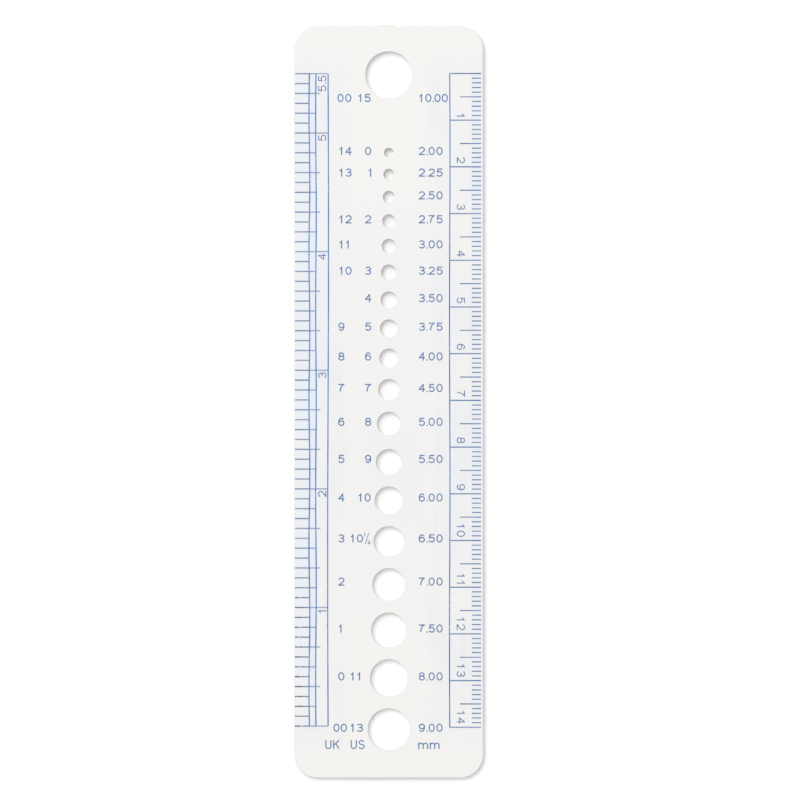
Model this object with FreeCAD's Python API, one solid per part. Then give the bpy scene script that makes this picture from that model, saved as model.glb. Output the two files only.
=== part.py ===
import FreeCAD, Part
import math
import os

# A knitting-needle gauge: one moulded plastic card with a column of sizing holes, a rule down each
# long edge and a chart of needle sizes beside the holes. Rules and chart are films of ink that stand
# on the card's face. Millimetres; +Z up, the card's length along Y, the printed face up.
# The origin is the centre of the card's back face.

# The moulded card
CARD_LENGTH = 161.0
CARD_WIDTH = 40.5
CARD_THICKNESS = 1.6
CORNER_RADIUS = 5.0
EDGE_ROUNDING = 0.2
RIM_ROUNDING = 0.05
GATE_X = -0.6
GATE_WIDTH = 4.2
GATE_DEPTH = 0.9
GATE_PROUD = 0.35
GATE_ROOT = 1.0
GATE_SOFTENING = 0.12
GATE_NICK_RADIUS = 0.45

# The holes: each is its needle's diameter and a sliding allowance wide
NEEDLE_ALLOWANCE = 0.04
LARGEST_NEEDLE = 10.0
LARGEST_HOLE_Y = 70.1
FIRST_HOLE_Y = -70.1
WEB = 2.5
WEB_BETWEEN_RUNS = 3.0
FIRST_OF_SECOND_RUN = 5.0

# The size chart, from the bottom hole up: needle diameter, US size, UK size
SIZE_CHART = [
    (9.0, "13", "00"),
    (8.0, "11", "0"),
    (7.5, "", "1"),
    (7.0, "", "2"),
    (6.5, "10½", "3"),
    (6.0, "10", "4"),
    (5.5, "9", "5"),
    (5.0, "8", "6"),
    (4.5, "7", "7"),
    (4.0, "6", "8"),
    (3.75, "5", "9"),
    (3.5, "4", ""),
    (3.25, "3", "10"),
    (3.0, "", "11"),
    (2.75, "2", "12"),
    (2.5, "", ""),
    (2.25, "1", "13"),
    (2.0, "0", "14"),
]
LARGEST_US = "15"
LARGEST_UK = "00"

# The ink
INK_FILM = 0.02
PEN = 0.24
RULE_FIGURE_PEN = 0.2
RULE_PEN = 0.25
INCH_TICK_PEN = 0.28
CENTIMETRE_TICK_PEN = 0.25
MILLIMETRE_TICK_PEN = 0.23
INCH_TICK_INSET = 0.15
MILLIMETRE_TICK_INSET = 0.5
STROKE_OVERLAP = 0.15 * PEN

# Lettering: widths and gaps go with the height of the figures
FIGURE_HEIGHT = 1.76
FIGURE_WIDTH = 1.32
FIGURE_STEP = 1.68
ONE_WIDTH = 0.7
ONE_STEP = 1.5
STOP_WIDTH = 0.25
STOP_STEP = 0.42
TIGHT_SPACING = 0.93
FRACTION_PEN = 0.14
FRACTION_ONE_HEIGHT = 0.88
FRACTION_TWO_HEIGHT = 0.74
FRACTION_RISE = 0.35
FRACTION_DROP = 0.35
FRACTION_GAP = 0.14
FRACTION_LEAN = 0.78
FRACTION_TWO_INSET = 0.52
HEADING_HEIGHT = 1.93
LOWER_CASE_HEIGHT = 1.38
LOWER_CASE_WIDTH = 2.12
LETTER_GAP = 0.34

# Where the chart's columns stand
LABEL_RISE = 0.35
LIFTED_ROWS = (5.5, 7.0)
ROW_LIFT = 0.3
LARGEST_LABEL_DROP = 5.0
METRIC_LEFT = 6.42
US_RIGHT_ONE_FIGURE = -3.77
US_LEFT_TWO_FIGURES = -6.6
US_LEFT_CROWDED = -8.25
CROWDED_NEEDLE = 8.0
UK_LEFT = -10.82
UK_LEFT_TWO_FIGURES = -10.68
UK_LEFT_CROWDED = -11.85
UK_LEFT_TOP = -11.0
HEADING_Y = -73.35
UK_HEADING_LEFT = -13.6
US_HEADING_LEFT = -8.15
MM_HEADING_LEFT = 6.3

# The inch rule down the left edge, in twelfths, counted from the bottom
INCH = 25.4
TWELFTHS = 12
THIRD_OF_INCH = TWELFTHS // 3
INCH_RULE_LENGTH = 5.5
INCH_ZERO_Y = -69.4
INCH_LINES_FROM_EDGE = (3.25, 4.65, 7.25)
INCH_OVERRUN = 0.9
INCH_FIGURE_BASE = 0.37
INCH_FIGURE_TO_LINE = 0.42
INCH_ONE_DROP = 0.2

# The centimetre rule down the right edge, counted from the top
CENTIMETRE = 10.0
CENTIMETRES = 14
TENTHS = 10
HALF_CENTIMETRE = TENTHS // 2
CENTIMETRE_ZERO_Y = 70.35
CENTIMETRE_LINE_FROM_EDGE = 7.2
MILLIMETRE_TICK = 1.97
HALF_TICK = 4.54
CENTIMETRE_FIGURE_BASE = 1.5
CENTIMETRE_FIGURE_TO_LINE = 0.78

# The long rule lines are not quite straight: how far each one sways, and over what length
INCH_LINE_SWAYS = ((0.1, 15.5), (0.07, 20.0), (0.1, 70.0))
CENTIMETRE_LINE_SWAY = (0.06, 35.0)

HALF_WIDTH = CARD_WIDTH / 2
HALF_LENGTH = CARD_LENGTH / 2


def point(x, y, z=0.0):
    return FreeCAD.Vector(x, y, z)


# The card


def hole_centres():
    """The height of each chart hole on the column, with the web of plastic between neighbours."""
    centres = [FIRST_HOLE_Y]
    needles = [row[0] for row in SIZE_CHART]
    for lower, upper in zip(needles, needles[1:]):
        web = WEB_BETWEEN_RUNS if upper == FIRST_OF_SECOND_RUN else WEB
        centres.append(centres[-1] + (lower + upper) / 2 + web)
    return centres


def sizing_holes():
    """Every hole as its needle's diameter and its height on the column."""
    needles = [row[0] for row in SIZE_CHART]
    return list(zip(needles, hole_centres())) + [(LARGEST_NEEDLE, LARGEST_HOLE_Y)]


def rounded_plate():
    """The flat blank: a plate with rounded corners and softened edges."""
    plate = Part.makeBox(CARD_WIDTH, CARD_LENGTH, CARD_THICKNESS, point(-HALF_WIDTH, -HALF_LENGTH))
    upright = [edge for edge in plate.Edges if edge.BoundBox.ZLength > CARD_THICKNESS / 2]
    plate = plate.makeFillet(CORNER_RADIUS, upright)
    outline = [edge for edge in plate.Edges if edge.BoundBox.ZLength < CARD_THICKNESS / 2]
    return plate.makeFillet(EDGE_ROUNDING, outline)


def gate_mark():
    """The low arched stub left where the plastic entered the mould, on the top edge."""
    left, right = GATE_X - GATE_WIDTH / 2, GATE_X + GATE_WIDTH / 2
    root, end = HALF_LENGTH - GATE_ROOT, HALF_LENGTH + GATE_PROUD
    outline = [
        Part.Arc(point(left, HALF_LENGTH), point(GATE_X, end), point(right, HALF_LENGTH)),
        Part.LineSegment(point(right, HALF_LENGTH), point(right, root)),
        Part.LineSegment(point(right, root), point(left, root)),
        Part.LineSegment(point(left, root), point(left, HALF_LENGTH)),
    ]
    stub = Part.Face(Part.Wire([piece.toShape() for piece in outline])).extrude(point(0, 0, GATE_DEPTH))
    stub.translate(point(0, 0, (CARD_THICKNESS - GATE_DEPTH) / 2))
    trimmed = [edge for edge in stub.Edges if edge.Curve.TypeId == "Part::GeomCircle"]
    return stub.makeChamfer(GATE_SOFTENING, trimmed)


def gate_nick():
    """The small half-round nick in the edge, where the gate was snapped off beside its stub."""
    x = GATE_X + GATE_WIDTH / 2 + GATE_NICK_RADIUS
    return Part.makeCylinder(GATE_NICK_RADIUS, CARD_THICKNESS, point(x, HALF_LENGTH))


def needle_cutter(needle, y):
    """A hole and its two rounded rims, as the solid that is taken away from the card."""
    radius = (needle + NEEDLE_ALLOWANCE) / 2
    mouth = radius + RIM_ROUNDING
    mid_rim = RIM_ROUNDING * (1 - math.sqrt(0.5))
    top = CARD_THICKNESS
    low, high = RIM_ROUNDING, top - RIM_ROUNDING
    profile = [
        Part.LineSegment(point(0, 0), point(mouth, 0)),
        Part.Arc(point(mouth, 0), point(radius + mid_rim, 0, mid_rim), point(radius, 0, low)),
        Part.LineSegment(point(radius, 0, low), point(radius, 0, high)),
        Part.Arc(point(radius, 0, high), point(radius + mid_rim, 0, top - mid_rim), point(mouth, 0, top)),
        Part.LineSegment(point(mouth, 0, top), point(0, 0, top)),
        Part.LineSegment(point(0, 0, top), point(0, 0)),
    ]
    face = Part.Face(Part.Wire([piece.toShape() for piece in profile]))
    cutter = face.revolve(point(0, 0), point(0, 0, 1), 360)
    cutter.translate(point(0, y))
    return cutter


def card():
    blank = rounded_plate().fuse(gate_mark()).removeSplitter()
    cutters = [needle_cutter(needle, y) for needle, y in sizing_holes()]
    return blank.cut(cutters + [gate_nick()])


# Pen strokes


def film(outline):
    """A flat outline raised to the thickness of the ink."""
    return Part.Face(outline).extrude(point(0, 0, INK_FILM))


def straight(x1, y1, x2, y2, pen, reach=0.0):
    """A straight stroke from one point to another, reach longer at both ends."""
    start, end = point(x1, y1), point(x2, y2)
    along = (end - start).normalize()
    side = point(-along.y, along.x) * (pen / 2)
    start, end = start - along * reach, end + along * reach
    corners = [start + side, end + side, end - side, start - side, start + side]
    return film(Part.makePolygon(corners))


def oval_edge(x, y, across, up, first, last):
    """Part of an ellipse's outline between two angles, across and up being its half sizes."""
    turn = 90 if up > across else 0
    oval = Part.Ellipse(point(x, y), max(across, up), min(across, up))
    oval.AngleXU = math.radians(turn)
    return Part.ArcOfEllipse(oval, math.radians(first - turn), math.radians(last - turn)).toShape()


def bow(x, y, across, up, first, last, pen):
    """A curved stroke along an ellipse, anticlockwise from the first angle to the last."""
    half = pen / 2
    outer = oval_edge(x, y, across + half, up + half, first, last)
    inner = oval_edge(x, y, across - half, up - half, first, last)
    ends = [
        Part.makeLine(outer.firstVertex(True).Point, inner.firstVertex(True).Point),
        Part.makeLine(outer.lastVertex(True).Point, inner.lastVertex(True).Point),
    ]
    return film(Part.Wire(Part.__sortEdges__([outer, inner] + ends)))


def ring(x, y, across, up, pen):
    """A closed oval stroke."""
    return bow(x, y, across, up, 0, 180, pen).fuse(bow(x, y, across, up, 180, 360, pen))


# Figures and letters. Each is drawn with the pen's centre in a box w wide and h high.


def zero(w, h, pen):
    return [ring(w / 2, h / 2, w / 2, h / 2, pen)]


def one(w, h, pen):
    flag, flag_end = 0.24 * h, 350
    return [straight(w, 0, w, h, pen, pen / 2), bow(0, h, w, flag, 270, flag_end, pen)]


def two(w, h, pen):
    bowl = 0.3 * h
    joint, tip = -40, 168
    joint_x = w / 2 * (1 + math.cos(math.radians(joint)))
    joint_y = h - bowl + bowl * math.sin(math.radians(joint))
    return [
        bow(w / 2, h - bowl, w / 2, bowl, joint, tip, pen),
        straight(joint_x, joint_y, 0, 0, pen, STROKE_OVERLAP),
        straight(0, 0, w, 0, pen, pen / 2),
    ]


def three(w, h, pen):
    upper, lower = 0.235 * h, 0.265 * h
    upper_reach, waist = 0.45 * w, 0.36 * w
    tip = 160
    return [
        bow(w / 2, h - upper, upper_reach, upper, -90, tip, pen),
        bow(w / 2, lower, w / 2, lower, -tip, 90, pen),
        straight(waist, 2 * lower, w / 2, 2 * lower, pen, STROKE_OVERLAP),
    ]


def four(w, h, pen):
    stem, bar = 0.76 * w, 0.32 * h
    return [
        straight(stem, 0, stem, h, pen, pen / 2),
        straight(stem, h, 0, bar, pen, STROKE_OVERLAP),
        straight(0, bar, w, bar, pen, pen / 2),
    ]


def five(w, h, pen):
    bowl = 0.325 * h
    shoulder, flag_end, neck = 0.17 * w, 0.92 * w, 0.07 * w
    tip, joint = -158, 142
    return [
        straight(shoulder, h, flag_end, h, pen, pen / 2),
        straight(shoulder, h, neck, h / 2, pen, STROKE_OVERLAP),
        bow(w / 2, bowl, w / 2, bowl, tip, joint, pen),
    ]


def six(w, h, pen):
    bowl = 0.315 * h
    back_reach, tip = 0.52 * w, 38
    return [
        ring(w / 2, bowl, w / 2, bowl, pen),
        bow(back_reach, h / 2, back_reach, h / 2, tip, 180, pen),
        straight(0, bowl, 0, h / 2, pen),
    ]


def seven(w, h, pen):
    foot = 0.28 * w
    start = math.acos(-foot / w)
    rise = h / math.sin(start)
    return [
        straight(0, h, w, h, pen, pen / 2),
        bow(foot + w, 0, w, rise, math.degrees(start), 180, pen),
    ]


def eight(w, h, pen):
    upper, lower = 0.23 * h, 0.27 * h
    upper_reach = 0.43 * w
    return [
        ring(w / 2, h - upper, upper_reach, upper, pen),
        ring(w / 2, lower, w / 2, lower, pen),
    ]


def nine(w, h, pen):
    strokes = six(w, h, pen)
    for stroke in strokes:
        stroke.rotate(point(w / 2, h / 2), point(0, 0, 1), 180)
    return strokes


def full_stop(w, h, pen):
    """A square as wide as the box, standing on the base line whatever the figures' height."""
    return [straight(-pen / 2, w / 2, w + pen / 2, w / 2, w + pen)]


def letter_u(w, h, pen):
    bowl = w / 2
    return [
        straight(0, bowl, 0, h + pen / 2, pen),
        straight(w, bowl, w, h + pen / 2, pen),
        bow(w / 2, bowl, w / 2, bowl, 180, 360, pen),
    ]


def letter_k(w, h, pen):
    fork = 0.38 * h
    arm = 0.45 * w
    return [
        straight(0, 0, 0, h, pen, pen / 2),
        straight(0, fork, w, h, pen, pen / 2),
        straight(arm, fork + arm * (h - fork) / w, w, 0, pen, pen / 2),
    ]


def letter_s(w, h, pen):
    upper, lower = 0.24 * h, 0.26 * h
    upper_reach = 0.47 * w
    tip = 22
    return [
        bow(w / 2, h - upper, upper_reach, upper, tip, 270, pen),
        bow(w / 2, lower, w / 2, lower, tip - 180, 90, pen),
    ]


def letter_m(w, h, pen):
    arch = w / 4
    strokes = [straight(0, 0, 0, h, pen, pen / 2)]
    for foot in (w / 2, w):
        strokes.append(straight(foot, -pen / 2, foot, h - arch, pen))
        strokes.append(bow(foot - arch, h - arch, arch, arch, 0, 180, pen))
    return strokes


FIGURES = {
    "0": (zero, FIGURE_WIDTH, FIGURE_STEP),
    "1": (one, ONE_WIDTH, ONE_STEP),
    "2": (two, FIGURE_WIDTH, FIGURE_STEP),
    "3": (three, FIGURE_WIDTH, FIGURE_STEP),
    "4": (four, FIGURE_WIDTH, FIGURE_STEP),
    "5": (five, FIGURE_WIDTH, FIGURE_STEP),
    "6": (six, FIGURE_WIDTH, FIGURE_STEP),
    "7": (seven, FIGURE_WIDTH, FIGURE_STEP),
    "8": (eight, FIGURE_WIDTH, FIGURE_STEP),
    "9": (nine, FIGURE_WIDTH, FIGURE_STEP),
    ".": (full_stop, STOP_WIDTH, STOP_STEP),
}
finished_glyphs = {}


def glyph(draw, width, height, pen):
    """A figure or letter as one solid, its lower left corner at the origin. Each is made once."""
    key = (draw.__name__, width, height, pen)
    if key not in finished_glyphs:
        strokes = draw(width - pen, height - pen, pen)
        solid = strokes[0].fuse(strokes[1:]) if len(strokes) > 1 else strokes[0]
        solid = solid.removeSplitter()
        solid.translate(point(pen / 2, pen / 2))
        finished_glyphs[key] = solid
    return finished_glyphs[key].copy()


def small_figure(draw, full_width, height, x, y):
    """A figure of the fraction, in proportion to the full-size figures."""
    solid = glyph(draw, full_width * height / FIGURE_HEIGHT, height, FRACTION_PEN)
    solid.translate(point(x, y))
    return solid


def fraction_half(x, y):
    """The small raised 1, the slash and the small lowered 2 of a half."""
    top, bottom = y + FIGURE_HEIGHT + FRACTION_RISE, y - FRACTION_DROP
    raised = small_figure(one, ONE_WIDTH, FRACTION_ONE_HEIGHT, x, top - FRACTION_ONE_HEIGHT)
    foot = x + ONE_WIDTH * FRACTION_ONE_HEIGHT / FIGURE_HEIGHT
    slash = straight(foot, bottom, foot + FRACTION_LEAN, top, FRACTION_PEN)
    lowered = small_figure(two, FIGURE_WIDTH, FRACTION_TWO_HEIGHT, foot + FRACTION_TWO_INSET, bottom)
    return [raised, slash, lowered]


def figures(text, left, base, spacing=1.0, pen=PEN):
    """A run of figures along +X from its left end, standing on its base line."""
    solids, x, right = [], left, left
    for character in text:
        if character == "½":
            solids += fraction_half(right + FRACTION_GAP, base)
            continue
        draw, width, step = FIGURES[character]
        solid = glyph(draw, width, FIGURE_HEIGHT, pen)
        solid.translate(point(x, base))
        solids.append(solid)
        right = x + width
        x += step * spacing
    return solids


def figures_width(text):
    """How far a run of figures reaches from its left end."""
    steps = [FIGURES[character][2] for character in text[:-1]]
    return sum(steps) + sum(FIGURES[character][1] for character in text[-1:])


def on_face(solids):
    """Films raised from the drawing plane to the card's face, as one group of separate solids."""
    group = Part.makeCompound(solids)
    group.translate(point(0, 0, CARD_THICKNESS))
    return group


# The size chart


def label_base(needle, y):
    """The base line of a row's labels. The lifted rows were printed a little high."""
    if needle == LARGEST_NEEDLE:
        return y - LARGEST_LABEL_DROP - FIGURE_HEIGHT / 2
    first_lifted, last_lifted = LIFTED_ROWS
    lift = ROW_LIFT if first_lifted <= needle <= last_lifted else 0.0
    return y + LABEL_RISE + lift - FIGURE_HEIGHT / 2


def metric_size_numbers():
    solids = []
    for (needle, _, _), y in zip(SIZE_CHART, hole_centres()):
        solids += figures(f"{needle:.2f}", METRIC_LEFT, label_base(needle, y))
    top = label_base(LARGEST_NEEDLE, LARGEST_HOLE_Y)
    solids += figures(f"{LARGEST_NEEDLE:.2f}", METRIC_LEFT, top, TIGHT_SPACING)
    return on_face(solids)


def us_left(needle, size):
    """The left end of a US size: it moves out where a large hole or a fraction needs the room."""
    if needle >= CROWDED_NEEDLE or len(size) > 2:
        return US_LEFT_CROWDED
    if len(size) == 2:
        return US_LEFT_TWO_FIGURES
    return US_RIGHT_ONE_FIGURE - figures_width(size)


def us_size_numbers():
    solids = []
    for (needle, size, _), y in zip(SIZE_CHART, hole_centres()):
        solids += figures(size, us_left(needle, size), label_base(needle, y), TIGHT_SPACING)
    top = label_base(LARGEST_NEEDLE, LARGEST_HOLE_Y)
    solids += figures(LARGEST_US, US_LEFT_TWO_FIGURES, top, TIGHT_SPACING)
    return on_face(solids)


def uk_size_numbers():
    solids = []
    for (needle, _, size), y in zip(SIZE_CHART, hole_centres()):
        left = UK_LEFT_TWO_FIGURES if len(size) == 2 else UK_LEFT
        if size == LARGEST_UK:
            left = UK_LEFT_CROWDED
        solids += figures(size, left, label_base(needle, y), TIGHT_SPACING)
    top = label_base(LARGEST_NEEDLE, LARGEST_HOLE_Y)
    solids += figures(LARGEST_UK, UK_LEFT_TOP, top)
    return on_face(solids)


def column_headings():
    """UK, US and mm below their columns."""
    headings = (
        (UK_HEADING_LEFT, (letter_u, letter_k), FIGURE_WIDTH, HEADING_HEIGHT),
        (US_HEADING_LEFT, (letter_u, letter_s), FIGURE_WIDTH, HEADING_HEIGHT),
        (MM_HEADING_LEFT, (letter_m, letter_m), LOWER_CASE_WIDTH, LOWER_CASE_HEIGHT),
    )
    base = HEADING_Y - HEADING_HEIGHT / 2
    solids = []
    for left, letters, width, height in headings:
        for place, draw in enumerate(letters):
            solid = glyph(draw, width, height, PEN)
            solid.translate(point(left + place * (width + LETTER_GAP), base))
            solids.append(solid)
    return on_face(solids)


# The rules


def rule_line(x, low, high, sway, span_length):
    """A long upright line that sways a little from side to side, one shallow arc after another."""
    spans = round((high - low) / span_length)
    step = (high - low) / spans
    edges = []
    for side in (-RULE_PEN / 2, RULE_PEN / 2):
        for span in range(spans):
            y = low + span * step
            bulge = sway if span % 2 else -sway
            middle = point(x + side + bulge, y + step / 2)
            edges.append(Part.Arc(point(x + side, y), middle, point(x + side, y + step)).toShape())
    for y in (low, high):
        edges.append(Part.makeLine(point(x - RULE_PEN / 2, y), point(x + RULE_PEN / 2, y)))
    return film(Part.Wire(Part.__sortEdges__(edges)))


def level_line(left, right, y, pen):
    return straight(left, y, right, y, pen)


def without(ticks, lines):
    """Ticks with the long lines taken out of them, so that no two films share the same place."""
    return [solid for tick in ticks for solid in tick.cut(lines).Solids]


def inch_rule():
    """The long lines and the ticks of the inch rule."""
    low, high = INCH_ZERO_Y, INCH_ZERO_Y + INCH_RULE_LENGTH * INCH
    first, second, third = [inset - HALF_WIDTH for inset in INCH_LINES_FROM_EDGE]
    start = INCH_TICK_INSET - HALF_WIDTH
    lines = [rule_line(x, low, high, *sway) for x, sway in zip((first, second, third), INCH_LINE_SWAYS)]
    ticks = []
    last = round(INCH_RULE_LENGTH * TWELFTHS)
    for count in range(last + 1):
        if count % TWELFTHS == 0 or count == last:
            end = third
        elif count % THIRD_OF_INCH == 0:
            end = second + INCH_OVERRUN
        else:
            end = second if count % 2 == 0 else first
        ticks.append(level_line(start, end, low + count * INCH / TWELFTHS, INCH_TICK_PEN))
    return lines, without(ticks, lines)


def centimetre_rule():
    """The long line and the ticks of the centimetre rule."""
    high, low = CENTIMETRE_ZERO_Y, CENTIMETRE_ZERO_Y - CENTIMETRES * CENTIMETRE
    line = HALF_WIDTH - CENTIMETRE_LINE_FROM_EDGE
    end = HALF_WIDTH - MILLIMETRE_TICK_INSET
    lines = [rule_line(line, low, high, *CENTIMETRE_LINE_SWAY)]
    ticks = []
    for count in range(CENTIMETRES * TENTHS + 1):
        start, pen = end - MILLIMETRE_TICK, MILLIMETRE_TICK_PEN
        if count % TENTHS == 0:
            start, pen = line, CENTIMETRE_TICK_PEN
        elif count % HALF_CENTIMETRE == 0:
            start = end - HALF_TICK
        ticks.append(level_line(start, end, high - count * CENTIMETRE / TENTHS, pen))
    return lines, without(ticks, lines)


def turned_figures(text, degrees, base, end):
    """Figures turned to read along the rule: they stand on a line at base and finish at end."""
    group = Part.makeCompound(figures(text, -figures_width(text), 0, pen=RULE_FIGURE_PEN))
    group.rotate(point(0, 0), point(0, 0, 1), degrees)
    group.translate(point(base, end))
    return group.Solids


def inch_rule_numbers():
    """The inches, turned to read up the card, each just below its line and the narrow 1 a little lower."""
    base = INCH_LINES_FROM_EDGE[2] - INCH_FIGURE_BASE - HALF_WIDTH
    solids = []
    for inches in [*range(1, math.ceil(INCH_RULE_LENGTH)), INCH_RULE_LENGTH]:
        drop = INCH_ONE_DROP if inches == 1 else 0.0
        end = INCH_ZERO_Y + inches * INCH - INCH_FIGURE_TO_LINE - drop
        solids += turned_figures(f"{inches:g}", 90, base, end)
    return on_face(solids)


def centimetre_rule_numbers():
    """The centimetres, turned to read down the card, each just above its line."""
    base = HALF_WIDTH - CENTIMETRE_LINE_FROM_EDGE + CENTIMETRE_FIGURE_BASE
    solids = []
    for count in range(1, CENTIMETRES + 1):
        end = CENTIMETRE_ZERO_Y - count * CENTIMETRE + CENTIMETRE_FIGURE_TO_LINE
        solids += turned_figures(str(count), -90, base, end)
    return on_face(solids)


def save(name, shape):
    if not shape.isValid():
        raise ValueError(f"{name} is not a valid shape")
    shape.exportStep(f"parts/{name}.step")
    print(f"{name}: {len(shape.Solids)} solids, {shape.Volume:.3f} mm3")


def main():
    os.makedirs("parts", exist_ok=True)
    inch_lines, inch_ticks = inch_rule()
    centimetre_lines, centimetre_ticks = centimetre_rule()
    save("card", card())
    save("inch_rule_lines", on_face(inch_lines))
    save("inch_rule_ticks", on_face(inch_ticks))
    save("inch_rule_numbers", inch_rule_numbers())
    save("centimetre_rule_lines", on_face(centimetre_lines))
    save("centimetre_rule_ticks", on_face(centimetre_ticks))
    save("centimetre_rule_numbers", centimetre_rule_numbers())
    save("metric_size_numbers", metric_size_numbers())
    save("us_size_numbers", us_size_numbers())
    save("uk_size_numbers", uk_size_numbers())
    save("column_headings", column_headings())


main()
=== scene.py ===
import math

import bpy
from bpy.props import FloatProperty, FloatVectorProperty, PointerProperty
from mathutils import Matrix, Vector


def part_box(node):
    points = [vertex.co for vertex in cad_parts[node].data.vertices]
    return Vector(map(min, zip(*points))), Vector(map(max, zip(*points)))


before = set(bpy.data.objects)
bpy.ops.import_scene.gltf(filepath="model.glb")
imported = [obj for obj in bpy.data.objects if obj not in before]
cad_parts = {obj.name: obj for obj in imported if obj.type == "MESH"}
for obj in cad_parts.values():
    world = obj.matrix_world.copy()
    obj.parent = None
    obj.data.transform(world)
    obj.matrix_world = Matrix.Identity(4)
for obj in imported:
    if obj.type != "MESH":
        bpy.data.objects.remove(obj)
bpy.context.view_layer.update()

# Finishes for a knitting-needle gauge: satin white moulded plastic with blue inks printed on it,
# on a white table under soft light. The card and its print come from the frame as they are.
# Patterns are laid out in millimetres on the card: X across it, Y along it, Z out of its face.

bl_info = {
    "name": "Needle gauge finishes",
    "version": (1, 0, 0),
    "blender": (4, 5, 0),
    "location": "3D View > Sidebar > Needle gauge",
    "description": "Moulded plastic and printed ink for a knitting-needle gauge card, with its stage",
    "category": "Material",
}

MILLIMETRES_PER_METRE = 1000.0
MILLIMETRE = 0.001

# The camera's sensor in millimetres, and how far it sees, in distances to the card
SENSOR_WIDTH = 36.0
CLIP_REACH = 2.0

# How strongly the plastic and the ink bend light
PLASTIC_IOR = 1.53
INK_IOR = 1.48

# The sockets of a Mix node that mixes colours, which share their names with its other sockets
MIX_FACTOR = 0
MIX_FIRST = 6
MIX_SECOND = 7
MIX_RESULT = 2

RULE_LINES = ("inch_rule_lines", "centimetre_rule_lines")
RULE_TICKS = ("inch_rule_ticks", "centimetre_rule_ticks")
RULE_NUMBERS = ("inch_rule_numbers", "centimetre_rule_numbers")
CHART_NUMBERS = ("metric_size_numbers", "us_size_numbers", "uk_size_numbers", "column_headings")

# How fine each pattern is, in repeats to the millimetre, and how much detail its noise has
PATCHES_PER_MM = 0.13
CLOUDS_PER_MM = 0.045
STREAKS_PER_MM = (0.9, 0.035, 0.9)
SPECKS_PER_MM = 0.11
GRAIN_PER_MM = 2.4
FLOW_PER_MM = (0.16, 0.05, 0.16)
HAIRLINES_PER_MM = (0.22, 0.02, 0.22)
KNIT_LINE_BREAKS_PER_MM = 0.26
DOTS_PER_MM = 4.2
DASHES_PER_MM = (2.4, 0.35, 0.35)
SMOOTH_DETAIL = 1.0
USUAL_DETAIL = 2.0
ROUGH_DETAIL = 3.0
HANDLING_DETAIL = 4.0

# The levels of a noise, which runs from 0 to 1, where its pattern starts and where it is full
NOISE_MIDDLE = 0.5
CLOUD_LEVELS = (0.35, 0.65)
STREAK_LEVELS = (0.42, 0.7)
BLOTCH_LEVELS = (0.3, 0.55)
HAIRLINE_PATCH_LEVELS = (0.54, 0.64)
KNIT_LINE_LEVELS = (0.54, 0.66)
THIN_PATCH_LEVELS = (0.42, 0.6)
PINHOLE_LEVELS = (0.5, 0.62)
HEAVY_PATCH_LEVELS = (0.38, 0.5)
HEAVY_DOT_LEVELS = (0.42, 0.5)
DASH_LEVELS = (0.5, 0.58)

# The bluer haze around the print: its places on the card in millimetres, and its strengths
HAZE_FROM_X = 7.0
HAZE_FULL_X = 10.5
HAZE_FULL_Y = 70.0
HAZE_END_Y = 76.0
HAZE_MIDDLE_Y = 25.0
HAZE_MIDDLE_END_Y = 50.0
HAZE_MIDDLE = 0.5
HAZE_LEAST = 0.3

# The stained strips between the rules' ticks: the left, the right and the strength of each, the
# width of their soft sides in millimetres, and the least of their strength in a pale blotch
STAINED_STRIPS = ((-19.9, -17.2, 0.38), (-17.1, -15.5, 0.85), (17.9, 19.9, 0.55))
STAIN_FADE = 0.4
STAIN_LEAST = 0.3

# Specks: the largest radius and the soft edge, as shares of a cell of their pattern, how dark they
# are, and the share of the cells that stays empty
SPECK_RADIUS = 0.016
SPECK_EDGE = 0.004
SPECK_STRENGTH = 0.6
SPECK_RARITY = 0.55

# Scratches and handling: the turn of the scratches in radians and their fineness as a level of
# noise, their depth in millimetres, how much speck colour they take and the roughness they add
SCRATCHES_ALONG = {"Turn": 0.12, "Fineness": 0.005}
SCRATCHES_ACROSS = {"Turn": 1.2, "Fineness": 0.003}
SCRATCH_DEPTH = 0.005
SCRATCH_DARKNESS = 0.05
SCRATCH_ROUGHNESS = 0.2
HANDLING_ROUGHNESS = 0.18

# The knit line, in millimetres, and how much speck colour it takes
KNIT_LINE_WIDTH = 0.09
KNIT_LINE_WANDER = 0.5
KNIT_LINE_DARKNESS = 0.06

# The painted shade on the rounded edges and the walls: how much speck colour it takes, and the
# upright share of the surface's normal where the painted shade is full and where it ends
PAINTED_EDGE_SHADE_DARKNESS = 0.25
PAINTED_EDGE_SHADE_LEAN = (0.7, 0.995)

# The wear of the ticks: places and lengths on the card in millimetres, and shares of the ink lost
# or darkened
DARK_ENDS_FROM_X = 16.6
DARK_ENDS_FULL_X = 18.2
DARK_ENDS_SHARE = 0.2
FIRST_INCH_LINE_X = -17.0
TICK_FADE = 0.4
THIN_OUTSIDE_LOSS = 0.12
THIN_INSIDE_LOSS = 0.28
WORN_ENDS_REACH = 2.6
WHOLE_ENDS_REACH = 0.9
WORN_ENDS_FROM_Y = -34.0
WORN_ENDS_FADE = 14.0
WORN_ENDS_LOSS = 0.6

# The greying of the ink down the card: where it is full and where it ends in millimetres, and how
# much of the aged colour the ink takes there
AGED_FROM_Y = -60.0
AGED_TO_Y = 30.0
AGED_SHARE = 0.2


# Settings


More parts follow.
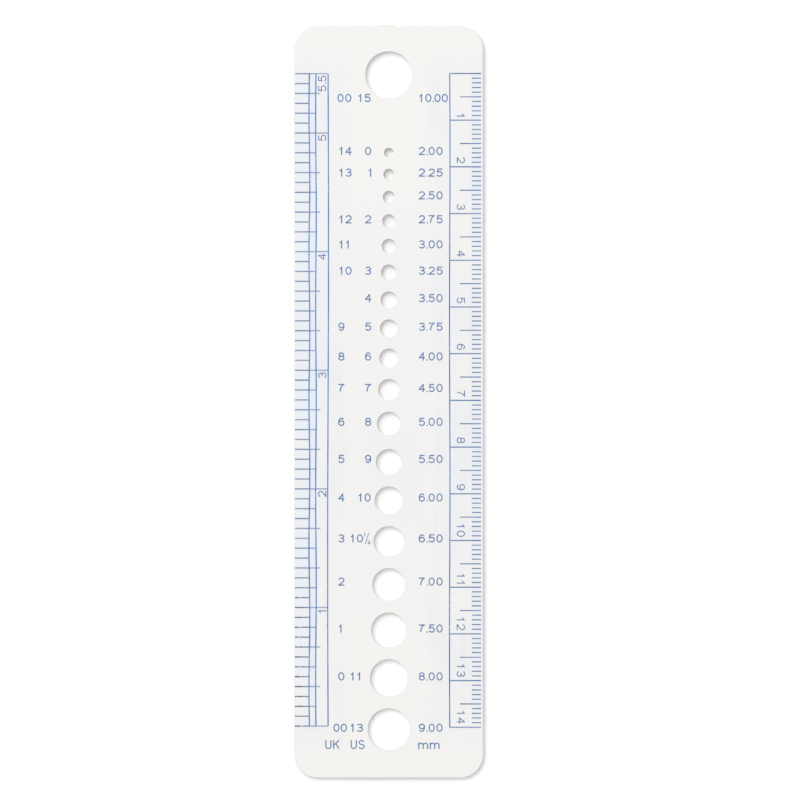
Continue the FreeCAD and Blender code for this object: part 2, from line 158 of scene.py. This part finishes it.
class PlasticSettings(bpy.types.PropertyGroup):
    clean_colour: FloatVectorProperty(
        name="Clean plastic",
        description="The white of the plain face",
        subtype="COLOR",
        min=0.0,
        max=1.0,
        default=(0.857, 0.848, 0.831),
    )
    cool_colour: FloatVectorProperty(
        name="Cool plastic",
        description="The bluer white where the face has taken a haze of ink",
        subtype="COLOR",
        min=0.0,
        max=1.0,
        default=(0.802, 0.809, 0.838),
    )
    stained_colour: FloatVectorProperty(
        name="Stained plastic",
        description="The pale blue of the face between the ticks of the rules",
        subtype="COLOR",
        min=0.0,
        max=1.0,
        default=(0.735, 0.796, 0.88),
    )
    speck_colour: FloatVectorProperty(
        name="Specks",
        description="Burnt grains and dust in the moulding",
        subtype="COLOR",
        min=0.0,
        max=1.0,
        default=(0.45, 0.43, 0.41),
    )
    roughness: FloatProperty(
        name="Roughness",
        description="How satin the moulded face is",
        subtype="FACTOR",
        min=0.0,
        max=1.0,
        default=0.36,
    )
    grain_height: FloatProperty(
        name="Grain, mm",
        description="Height of the fine grain that the mould leaves on the face",
        min=0.0,
        default=0.002,
    )
    flow_height: FloatProperty(
        name="Flow marks, mm",
        description="Height of the shallow waves where the plastic flowed down the card",
        min=0.0,
        default=0.03,
    )


class InkSettings(bpy.types.PropertyGroup):
    line_colour: FloatVectorProperty(
        name="Line ink",
        description="The blue of the rules' long lines where the ink is full",
        subtype="COLOR",
        min=0.0,
        max=1.0,
        default=(0.033, 0.19, 0.52),
    )
    tick_colour: FloatVectorProperty(
        name="Tick ink",
        description="The blue of the rules' ticks where the ink is full",
        subtype="COLOR",
        min=0.0,
        max=1.0,
        default=(0.028, 0.14, 0.38),
    )
    figure_colour: FloatVectorProperty(
        name="Figure ink",
        description="The blue of the numbers and headings where the ink is full",
        subtype="COLOR",
        min=0.0,
        max=1.0,
        default=(0.026, 0.15, 0.39),
    )
    aged_colour: FloatVectorProperty(
        name="Aged ink",
        description="The greyer blue that the inks turn to at the bottom of the card",
        subtype="COLOR",
        min=0.0,
        max=1.0,
        default=(0.06, 0.135, 0.26),
    )
    dark_colour: FloatVectorProperty(
        name="Doubled ink",
        description="The darker blue where the ink has dried twice as thick",
        subtype="COLOR",
        min=0.0,
        max=1.0,
        default=(0.015, 0.045, 0.13),
    )
    roughness: FloatProperty(
        name="Ink roughness",
        description="How matt the dried ink is",
        subtype="FACTOR",
        min=0.0,
        max=1.0,
        default=0.55,
    )


class StageSettings(bpy.types.PropertyGroup):
    table_size: FloatProperty(
        name="Table size", description="Width of the white table", unit="LENGTH", default=8.0
    )
    table_colour: FloatVectorProperty(
        name="Table", description="Colour of the table", subtype="COLOR", default=(1.0, 1.0, 1.0)
    )
    lamp_strength: FloatProperty(
        name="Key light", description="Strength of the soft lamp above the top left corner", default=1.45
    )
    lamp_softness: FloatProperty(
        name="Key softness",
        description="How wide the lamp looks from the card",
        unit="ROTATION",
        default=math.radians(38.0),
    )
    lamp_tilt: FloatProperty(
        name="Key tilt",
        description="How far the lamp leans away from straight above",
        unit="ROTATION",
        default=math.radians(27.0),
    )
    lamp_turn: FloatProperty(
        name="Key direction",
        description="Where the lamp stands, turned anticlockwise from the right-hand edge",
        unit="ROTATION",
        default=math.radians(130.0),
    )
    fill_strength: FloatProperty(
        name="Fill light", description="Strength of the even light from all round", default=0.63
    )
    view_width: FloatProperty(
        name="View width",
        description="How much of the card's plane the camera takes in",
        unit="LENGTH",
        default=0.1713,
    )
    view_right: FloatProperty(
        name="View right",
        description="How far right of the card's centre the view's centre is",
        unit="LENGTH",
        default=0.0024,
    )
    view_up: FloatProperty(
        name="View up",
        description="How far above the card's centre the view's centre is",
        unit="LENGTH",
        default=0.00043,
    )
    lens: FloatProperty(
        name="Lens, mm", description="Focal length, long so that the card looks flat", default=240.0
    )


# Building with nodes


def add_node(tree, kind, inputs=None, **settings):
    """A node with its settings and inputs. An input is a value or the socket that feeds it."""
    made = tree.nodes.new(kind)
    for name, value in settings.items():
        setattr(made, name, value)
    for name, value in (inputs or {}).items():
        if isinstance(value, bpy.types.NodeSocket):
            tree.links.new(value, made.inputs[name])
        else:
            made.inputs[name].default_value = value
    return made


def calculate(tree, operation, *values):
    return add_node(tree, "ShaderNodeMath", dict(enumerate(values)), operation=operation).outputs[0]


def ease(tree, value, low, high, at_low=0.0, at_high=1.0):
    """A smooth step: at_low up to low, at_high from high on."""
    inputs = {"Value": value, "From Min": low, "From Max": high, "To Min": at_low, "To Max": at_high}
    return add_node(tree, "ShaderNodeMapRange", inputs, interpolation_type="SMOOTHSTEP").outputs[0]


def fade(tree, value, low, high):
    """A smooth step down: one up to low, nothing from high on."""
    return ease(tree, value, low, high, 1.0, 0.0)


def mix_colours(tree, factor, first, second):
    inputs = {MIX_FACTOR: factor, MIX_FIRST: first, MIX_SECOND: second}
    return add_node(tree, "ShaderNodeMix", inputs, data_type="RGBA").outputs[MIX_RESULT]


def stretch(tree, place, scale):
    """The place with each direction scaled on its own, which draws a pattern out into streaks."""
    return add_node(tree, "ShaderNodeVectorMath", {0: place, 1: scale}, operation="MULTIPLY").outputs[0]


def noise(tree, place, scale=1.0, detail=USUAL_DETAIL):
    inputs = {"Vector": place, "Scale": scale, "Detail": detail}
    return add_node(tree, "ShaderNodeTexNoise", inputs).outputs[0]


def new_group(name, inputs, outputs):
    """An empty group with its sockets: (name, type, default) going in and (name, type) coming out."""
    group = bpy.data.node_groups.new(name, "ShaderNodeTree")
    for label, kind, default in inputs:
        socket = group.interface.new_socket(label, in_out="INPUT", socket_type=kind)
        socket.default_value = default
    for label, kind in outputs:
        group.interface.new_socket(label, in_out="OUTPUT", socket_type=kind)
    taken = add_node(group, "NodeGroupInput").outputs
    given = add_node(group, "NodeGroupOutput").inputs
    return group, taken, given


def place_group(tree, build, inputs):
    """Places an effect in a material. Each effect is built once, when it is first wanted."""
    group = bpy.data.node_groups.get(build.__name__) or build(build.__name__)
    return add_node(tree, "ShaderNodeGroup", inputs, node_tree=group).outputs


def opaque(colour):
    return (*colour, 1.0)


# Effects that more than one material uses

PLACE_SOCKET = ("Place", "NodeSocketVector", (0.0, 0.0, 0.0))


def hairlines(name):
    """Fine crooked scratches that run one way, in scattered patches."""
    group, taken, given = new_group(
        name,
        (
            PLACE_SOCKET,
            ("Turn", "NodeSocketFloat", 0.0),
            ("Fineness", "NodeSocketFloat", 0.006),
        ),
        (("Scratch", "NodeSocketFloat"),),
    )
    inputs = {"Vector": taken["Place"], "Angle": taken["Turn"]}
    turned = add_node(group, "ShaderNodeVectorRotate", inputs, rotation_type="Z_AXIS").outputs[0]
    drift = noise(group, stretch(group, turned, HAIRLINES_PER_MM), detail=SMOOTH_DETAIL)
    from_line = calculate(group, "ABSOLUTE", calculate(group, "SUBTRACT", drift, NOISE_MIDDLE))
    line = fade(group, from_line, 0.0, taken["Fineness"])
    patch = ease(group, noise(group, taken["Place"], PATCHES_PER_MM), *HAIRLINE_PATCH_LEVELS)
    group.links.new(calculate(group, "MULTIPLY", line, patch), given["Scratch"])
    return group


def printed_sides(tree, place):
    """One over the two printed sides of the card, less between them and none at its plain ends."""
    places = add_node(tree, "ShaderNodeSeparateXYZ", {0: place}).outputs
    across, along = [calculate(tree, "ABSOLUTE", axis) for axis in places[:2]]
    sides = ease(tree, across, HAZE_FROM_X, HAZE_FULL_X)
    middle = ease(tree, along, HAZE_MIDDLE_Y, HAZE_MIDDLE_END_Y, HAZE_MIDDLE, 0.0)
    ends = fade(tree, along, HAZE_FULL_Y, HAZE_END_Y)
    return calculate(tree, "MULTIPLY", calculate(tree, "MAXIMUM", sides, middle), ends)


def ruled_strips(tree, place):
    """How strongly ink has stained the face in the upright strips that the rules' ticks cross."""
    x, y, _ = add_node(tree, "ShaderNodeSeparateXYZ", {0: place}).outputs
    level = calculate(tree, "ABSOLUTE", y)
    total = 0.0
    for left, right, strength in STAINED_STRIPS:
        inside = calculate(
            tree,
            "MULTIPLY",
            ease(tree, x, left - STAIN_FADE, left),
            fade(tree, x, right, right + STAIN_FADE),
        )
        total = calculate(tree, "MULTIPLY_ADD", inside, strength, total)
    ends = fade(tree, level, HAZE_FULL_Y, HAZE_FULL_Y + STAIN_FADE)
    return calculate(tree, "MULTIPLY", total, ends)


def moulded_tone(name):
    """White plastic, a little cooler in a broken haze around the print, with a few dark specks."""
    group, taken, given = new_group(
        name,
        (
            PLACE_SOCKET,
            ("Clean", "NodeSocketColor", (1.0, 1.0, 1.0, 1.0)),
            ("Cool", "NodeSocketColor", (0.9, 0.9, 1.0, 1.0)),
            ("Stained", "NodeSocketColor", (0.8, 0.8, 1.0, 1.0)),
            ("Speck", "NodeSocketColor", (0.3, 0.3, 0.3, 1.0)),
        ),
        (("Color", "NodeSocketColor"),),
    )
    place = taken["Place"]
    clouds = ease(group, noise(group, place, CLOUDS_PER_MM), *CLOUD_LEVELS, HAZE_LEAST, 1.0)
    drawn_out = noise(group, stretch(group, place, STREAKS_PER_MM))
    streaks = ease(group, drawn_out, *STREAK_LEVELS, 1.0, HAZE_LEAST)
    broken = calculate(group, "MULTIPLY", clouds, streaks)
    cool = calculate(group, "MULTIPLY", broken, printed_sides(group, place))
    tone = mix_colours(group, cool, taken["Clean"], taken["Cool"])
    rough = noise(group, place, PATCHES_PER_MM, ROUGH_DETAIL)
    blotches = ease(group, rough, *BLOTCH_LEVELS, STAIN_LEAST, 1.0)
    stain = calculate(group, "MULTIPLY", blotches, ruled_strips(group, place))
    tone = mix_colours(group, stain, tone, taken["Stained"])
    cells = add_node(group, "ShaderNodeTexVoronoi", {"Vector": place, "Scale": SPECKS_PER_MM}).outputs
    chance = add_node(group, "ShaderNodeSeparateColor", {0: cells["Color"]}).outputs
    size = calculate(group, "MULTIPLY", chance[1], SPECK_RADIUS)
    from_rim = calculate(group, "SUBTRACT", cells["Distance"], size)
    spot = ease(group, from_rim, -SPECK_EDGE, SPECK_EDGE, SPECK_STRENGTH, 0.0)
    rare = calculate(group, "GREATER_THAN", chance[0], SPECK_RARITY)
    chosen = calculate(group, "MULTIPLY", spot, rare)
    group.links.new(mix_colours(group, chosen, tone, taken["Speck"]), given["Color"])
    return group


def satin_face(name):
    """The skin of a moulded face: fine grain over long shallow flow waves, cut by scratches."""
    group, taken, given = new_group(
        name,
        (
            PLACE_SOCKET,
            ("Grain", "NodeSocketFloat", 0.004),
            ("Flow", "NodeSocketFloat", 0.03),
            ("Scratch", "NodeSocketFloat", 0.0),
            ("Roughness", "NodeSocketFloat", 0.4),
        ),
        (("Height", "NodeSocketFloat"), ("Roughness", "NodeSocketFloat")),
    )
    place = taken["Place"]
    grain = calculate(group, "MULTIPLY", noise(group, place, GRAIN_PER_MM, ROUGH_DETAIL), taken["Grain"])
    waves = noise(group, stretch(group, place, FLOW_PER_MM), detail=SMOOTH_DETAIL)
    height = calculate(group, "MULTIPLY_ADD", waves, taken["Flow"], grain)
    cut = calculate(group, "MULTIPLY_ADD", taken["Scratch"], -SCRATCH_DEPTH, height)
    touched = noise(group, place, PATCHES_PER_MM, HANDLING_DETAIL)
    handled = calculate(group, "SUBTRACT", touched, NOISE_MIDDLE)
    varied = calculate(group, "MULTIPLY_ADD", handled, HANDLING_ROUGHNESS, taken["Roughness"])
    scratched = calculate(group, "MULTIPLY_ADD", taken["Scratch"], SCRATCH_ROUGHNESS, varied)
    group.links.new(cut, given["Height"])
    group.links.new(scratched, given["Roughness"])
    return group


def print_cover(name):
    """How far the ink covers the plastic: full strokes, speckled with pinholes where it is thin."""
    group, taken, given = new_group(
        name,
        (
            PLACE_SOCKET,
            ("Stroke", "NodeSocketFloat", 0.5),
            ("Uneven", "NodeSocketFloat", 0.2),
            ("Pinholes", "NodeSocketFloat", 0.5),
        ),
        (("Cover", "NodeSocketFloat"), ("Doubled", "NodeSocketFloat")),
    )
    place = taken["Place"]
    dots = noise(group, place, DOTS_PER_MM)
    patches = noise(group, place, PATCHES_PER_MM)
    thin = ease(group, patches, *THIN_PATCH_LEVELS)
    holes = calculate(group, "MULTIPLY", ease(group, dots, *PINHOLE_LEVELS), thin)
    paler = calculate(group, "MULTIPLY", taken["Stroke"], taken["Uneven"])
    loss = calculate(group, "MULTIPLY_ADD", holes, taken["Pinholes"], paler)
    group.links.new(calculate(group, "SUBTRACT", 1.0, loss), given["Cover"])
    heavy = fade(group, patches, *HEAVY_PATCH_LEVELS)
    core = calculate(group, "MULTIPLY", fade(group, dots, *HEAVY_DOT_LEVELS), heavy)
    group.links.new(core, given["Doubled"])
    return group


def ink_age(name):
    """How far the ink has greyed with age: most at the bottom of the card."""
    group, taken, given = new_group(name, (PLACE_SOCKET,), (("Age", "NodeSocketFloat"),))
    y = add_node(group, "ShaderNodeSeparateXYZ", {0: taken["Place"]}).outputs[1]
    group.links.new(ease(group, y, AGED_FROM_Y, AGED_TO_Y, AGED_SHARE, 0.0), given["Age"])
    return group


# Materials


def new_material(name):
    """A material with a Principled BSDF to fill in. Returns the material, its tree and its shader."""
    material = bpy.data.materials.new(name)
    material.use_nodes = True
    tree = material.node_tree
    return material, tree, tree.nodes["Principled BSDF"]


def card_place(tree):
    """The place on the card in millimetres."""
    place = add_node(tree, "ShaderNodeTexCoord").outputs["Object"]
    return stretch(tree, place, (MILLIMETRES_PER_METRE,) * 3)


def plastic_tone(tree, place, plastic):
    colours = {
        "Place": place,
        "Clean": opaque(plastic.clean_colour),
        "Cool": opaque(plastic.cool_colour),
        "Stained": opaque(plastic.stained_colour),
        "Speck": opaque(plastic.speck_colour),
    }
    return place_group(tree, moulded_tone, colours)["Color"]


def scratches(tree, place):
    """Scratches from sliding in a drawer along the card, and a few across it."""
    along = place_group(tree, hairlines, {"Place": place, **SCRATCHES_ALONG})["Scratch"]
    across = place_group(tree, hairlines, {"Place": place, **SCRATCHES_ACROSS})["Scratch"]
    return calculate(tree, "MAXIMUM", along, across)


def satin_surface(tree, shader, place, plastic, roughness, scratch):
    """Gives a material the skin of the card, which shows through the thin ink as well."""
    inputs = {
        "Place": place,
        "Grain": plastic.grain_height,
        "Flow": plastic.flow_height,
        "Scratch": scratch,
        "Roughness": roughness,
    }
    skin = place_group(tree, satin_face, inputs)
    tree.links.new(skin["Roughness"], shader.inputs["Roughness"])
    raised = {"Height": skin["Height"], "Strength": 1.0, "Distance": MILLIMETRE}
    tree.links.new(add_node(tree, "ShaderNodeBump", raised).outputs[0], shader.inputs["Normal"])


def knit_line(tree, place):
    """The faint seam down the middle, where the plastic met again below each hole's pin."""
    x = add_node(tree, "ShaderNodeSeparateXYZ", {0: place}).outputs[0]
    wander = calculate(tree, "MULTIPLY_ADD", noise(tree, place, PATCHES_PER_MM), KNIT_LINE_WANDER, x)
    offset = calculate(tree, "ABSOLUTE", calculate(tree, "SUBTRACT", wander, KNIT_LINE_WANDER / 2))
    line = fade(tree, offset, 0.0, KNIT_LINE_WIDTH)
    broken = ease(tree, noise(tree, place, KNIT_LINE_BREAKS_PER_MM), *KNIT_LINE_LEVELS)
    return calculate(tree, "MULTIPLY", line, broken)


def painted_edge_shade(tree):
    """Painted shade on the softened edges and the walls of the card: the less upright the surface, the
    darker.
    """
    normal = add_node(tree, "ShaderNodeNewGeometry").outputs["Normal"]
    lean = calculate(tree, "ABSOLUTE", add_node(tree, "ShaderNodeSeparateXYZ", {0: normal}).outputs[2])
    return fade(tree, lean, *PAINTED_EDGE_SHADE_LEAN)


def moulded_plastic(plastic):
    material, tree, shader = new_material("moulded_plastic")
    place = card_place(tree)
    tone = plastic_tone(tree, place, plastic)
    seam = knit_line(tree, place)
    scratch = scratches(tree, place)
    marks = (
        (seam, KNIT_LINE_DARKNESS),
        (scratch, SCRATCH_DARKNESS),
        # Painted shade: the rounded edges and walls are darkened towards the speck colour
        (painted_edge_shade(tree), PAINTED_EDGE_SHADE_DARKNESS),
    )
    # Each mark darkens the plastic towards the speck colour: the seam and scratches are real marks, the
    # edges are painted shade
    for mark, darkness in marks:
        soil_and_shade = calculate(tree, "MULTIPLY", mark, darkness)
        tone = mix_colours(tree, soil_and_shade, tone, opaque(plastic.speck_colour))
    tree.links.new(tone, shader.inputs["Base Color"])
    cuts = calculate(tree, "MAXIMUM", scratch, seam)
    satin_surface(tree, shader, place, plastic, plastic.roughness, cuts)
    shader.inputs["IOR"].default_value = PLASTIC_IOR
    return material


def tick_wear(tree, place):
    """How much of a tick is lost, and how dark it is. It is dark towards the card's sides, paler
    past the first inch line, and broken into dashes at the bottom left."""
    x, y, _ = add_node(tree, "ShaderNodeSeparateXYZ", {0: place}).outputs
    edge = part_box("card")[0].x * MILLIMETRES_PER_METRE
    near_edge = fade(tree, x, edge + WORN_ENDS_REACH / 2, edge + WORN_ENDS_REACH)
    low_down = fade(tree, y, WORN_ENDS_FROM_Y - WORN_ENDS_FADE, WORN_ENDS_FROM_Y)
    worn = calculate(tree, "MULTIPLY", near_edge, low_down)
    whole_end = edge + WHOLE_ENDS_REACH
    beyond_end = ease(tree, x, whole_end - WHOLE_ENDS_REACH / 2, whole_end, 0.0, WORN_ENDS_LOSS)
    dashes = ease(tree, noise(tree, stretch(tree, place, DASHES_PER_MM)), *DASH_LEVELS)
    gaps = calculate(tree, "MULTIPLY", beyond_end, dashes)
    past_line = FIRST_INCH_LINE_X + TICK_FADE
    thin = ease(tree, x, FIRST_INCH_LINE_X, past_line, THIN_OUTSIDE_LOSS, THIN_INSIDE_LOSS)
    inch_side = fade(tree, x, 0.0, TICK_FADE)
    unworn = calculate(tree, "MULTIPLY", inch_side, calculate(tree, "SUBTRACT", 1.0, worn))
    lost = calculate(
        tree,
        "MAXIMUM",
        calculate(tree, "MULTIPLY", worn, gaps),
        calculate(tree, "MULTIPLY", unworn, thin),
    )
    outward = calculate(tree, "ABSOLUTE", x)
    outer = ease(tree, outward, DARK_ENDS_FROM_X, DARK_ENDS_FULL_X, 0.0, DARK_ENDS_SHARE)
    return lost, calculate(tree, "MAXIMUM", worn, outer)


def printed_ink(name, colour, plastic, ink, grain, uneven, pinholes, doubled, worn_ticks=False):
    """Matt ink over the plastic. Grain stretches the dots of the print along its strokes."""
    material, tree, shader = new_material(name)
    place = card_place(tree)
    stroke = add_node(tree, "ShaderNodeNewGeometry").outputs["Random Per Island"]
    cover_inputs = {
        "Place": stretch(tree, place, grain),
        "Stroke": stroke,
        "Uneven": uneven,
        "Pinholes": pinholes,
    }
    cover = place_group(tree, print_cover, cover_inputs)
    shown = cover["Cover"]
    heavy = calculate(tree, "MULTIPLY", cover["Doubled"], doubled)
    if worn_ticks:
        lost, dark = tick_wear(tree, place)
        shown = calculate(tree, "MULTIPLY", shown, calculate(tree, "SUBTRACT", 1.0, lost))
        heavy = calculate(tree, "MAXIMUM", heavy, dark)
    age = place_group(tree, ink_age, {"Place": place})["Age"]
    single = mix_colours(tree, age, opaque(colour), opaque(ink.aged_colour))
    layered = mix_colours(tree, heavy, single, opaque(ink.dark_colour))
    tone = mix_colours(tree, shown, plastic_tone(tree, place, plastic), layered)
    tree.links.new(tone, shader.inputs["Base Color"])
    satin_surface(tree, shader, place, plastic, ink.roughness, scratches(tree, place))
    shader.inputs["IOR"].default_value = INK_IOR
    return material


def finish_nodes(names, material):
    """Gives the frame's nodes their finish."""
    for name in names:
        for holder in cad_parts[name].material_slots:
            holder.material = material


# Operators


class GAUGE_OT_finish_card(bpy.types.Operator):
    """Finish the card as satin white moulded plastic"""

    bl_idname = "gauge.finish_card"
    bl_label = "Finish the card"

    def execute(self, context):
        finish_nodes(("card",), moulded_plastic(context.scene.gauge_plastic))
        return {"FINISHED"}


class GAUGE_OT_print_rules(bpy.types.Operator):
    """Print the long lines and the ticks of both rules in ruling ink"""

    bl_idname = "gauge.print_rules"
    bl_label = "Print the rules"

    def execute(self, context):
        plastic, ink = context.scene.gauge_plastic, context.scene.gauge_ink
        lines = printed_ink(
            "ruling_ink_lines",
            ink.line_colour,
            plastic,
            ink,
            grain=(1.4, 1.0, 1.0),
            uneven=0.0,
            pinholes=0.4,
            doubled=0.5,
        )
        ticks = printed_ink(
            "ruling_ink_ticks",
            ink.tick_colour,
            plastic,
            ink,
            grain=(1.0, 1.4, 1.0),
            uneven=0.24,
            pinholes=0.16,
            doubled=0.8,
            worn_ticks=True,
        )
        finish_nodes(RULE_LINES, lines)
        finish_nodes(RULE_TICKS, ticks)
        return {"FINISHED"}


class GAUGE_OT_print_numbers(bpy.types.Operator):
    """Print the numbers and headings in figure ink"""

    bl_idname = "gauge.print_numbers"
    bl_label = "Print the numbers"

    def execute(self, context):
        plastic, ink = context.scene.gauge_plastic, context.scene.gauge_ink
        numbers = printed_ink(
            "figure_ink",
            ink.figure_colour,
            plastic,
            ink,
            grain=(1.0, 1.0, 1.0),
            uneven=0.08,
            pinholes=0.12,
            doubled=0.3,
        )
        finish_nodes(RULE_NUMBERS + CHART_NUMBERS, numbers)
        return {"FINISHED"}


def white_table(stage):
    """A wide white table that the card lies on."""
    half = stage.table_size / 2
    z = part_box("card")[0].z
    corners = [(-half, -half, z), (half, -half, z), (half, half, z), (-half, half, z)]
    mesh = bpy.data.meshes.new("table")
    mesh.from_pydata(corners, [], [range(4)])
    table = bpy.data.objects.new("table", mesh)
    bpy.context.scene.collection.objects.link(table)
    material, _, shader = new_material("white_table")
    shader.inputs["Base Color"].default_value = opaque(stage.table_colour)
    shader.inputs["Roughness"].default_value = 1.0
    shader.inputs["Specular IOR Level"].default_value = 0.0
    mesh.materials.append(material)


def soft_light(stage):
    """A wide soft lamp above the top left corner."""
    lamp = bpy.data.lights.new("key_lamp", "SUN")
    lamp.energy = stage.lamp_strength
    lamp.angle = stage.lamp_softness
    holder = bpy.data.objects.new("key_lamp", lamp)
    sideways = math.sin(stage.lamp_tilt)
    towards_lamp = Vector(
        (
            sideways * math.cos(stage.lamp_turn),
            sideways * math.sin(stage.lamp_turn),
            math.cos(stage.lamp_tilt),
        )
    )
    holder.rotation_mode = "QUATERNION"
    holder.rotation_quaternion = towards_lamp.to_track_quat("Z", "Y")
    bpy.context.scene.collection.objects.link(holder)


def white_surroundings(stage):
    """Fill light from every side. Seen directly, the surroundings are as white as the table."""
    world = bpy.data.worlds.new("white_surroundings")
    world.use_nodes = True
    tree = world.node_tree
    tree.nodes.clear()
    fill = add_node(tree, "ShaderNodeBackground", {"Color": opaque(stage.table_colour)})
    fill.inputs["Strength"].default_value = stage.fill_strength
    backdrop = add_node(tree, "ShaderNodeBackground", {"Color": opaque(stage.table_colour)})
    seen = add_node(tree, "ShaderNodeLightPath").outputs["Is Camera Ray"]
    mixed = add_node(tree, "ShaderNodeMixShader", {0: seen, 1: fill.outputs[0], 2: backdrop.outputs[0]})
    add_node(tree, "ShaderNodeOutputWorld", {"Surface": mixed.outputs[0]})
    bpy.context.scene.world = world


def overhead_camera(stage):
    """A long lens straight above the card's face."""
    camera = bpy.data.cameras.new("camera")
    camera.lens = stage.lens
    camera.sensor_width = SENSOR_WIDTH
    distance = stage.view_width * stage.lens / SENSOR_WIDTH
    camera.clip_end = CLIP_REACH * distance
    holder = bpy.data.objects.new("camera", camera)
    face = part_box("card")[1].z
    holder.location = (stage.view_right, stage.view_up, face + distance)
    bpy.context.scene.collection.objects.link(holder)
    bpy.context.scene.camera = holder


class GAUGE_OT_set_stage(bpy.types.Operator):
    """Set the white table, the soft light and the camera straight above"""

    bl_idname = "gauge.set_stage"
    bl_label = "Set the stage"

    def execute(self, context):
        stage = context.scene.gauge_stage
        white_table(stage)
        soft_light(stage)
        white_surroundings(stage)
        overhead_camera(stage)
        context.scene.view_settings.view_transform = "Standard"
        return {"FINISHED"}


class GAUGE_PT_sidebar(bpy.types.Panel):
    """The gauge's settings and steps in the 3D view's sidebar"""

    bl_label = "Needle gauge"
    bl_idname = "GAUGE_PT_sidebar"
    bl_space_type = "VIEW_3D"
    bl_region_type = "UI"
    bl_category = "Needle gauge"

    def draw(self, context):
        for step, settings in (
            (GAUGE_OT_finish_card, context.scene.gauge_plastic),
            (GAUGE_OT_print_rules, context.scene.gauge_ink),
            (GAUGE_OT_print_numbers, None),
            (GAUGE_OT_set_stage, context.scene.gauge_stage),
        ):
            box = self.layout.box()
            if settings:
                for name in settings.bl_rna.properties.keys():
                    if name not in ("rna_type", "name"):
                        box.prop(settings, name)
            box.operator(step.bl_idname)


CLASSES = (
    PlasticSettings,
    InkSettings,
    StageSettings,
    GAUGE_OT_finish_card,
    GAUGE_OT_print_rules,
    GAUGE_OT_print_numbers,
    GAUGE_OT_set_stage,
    GAUGE_PT_sidebar,
)


def register():
    for part in CLASSES:
        bpy.utils.register_class(part)
    bpy.types.Scene.gauge_plastic = PointerProperty(type=PlasticSettings)
    bpy.types.Scene.gauge_ink = PointerProperty(type=InkSettings)
    bpy.types.Scene.gauge_stage = PointerProperty(type=StageSettings)


def unregister():
    del bpy.types.Scene.gauge_stage
    del bpy.types.Scene.gauge_ink
    del bpy.types.Scene.gauge_plastic
    for part in reversed(CLASSES):
        bpy.utils.unregister_class(part)


def main():
    register()
    bpy.ops.gauge.finish_card()
    bpy.ops.gauge.print_rules()
    bpy.ops.gauge.print_numbers()
    bpy.ops.gauge.set_stage()


if __name__ == "__main__":
    main()
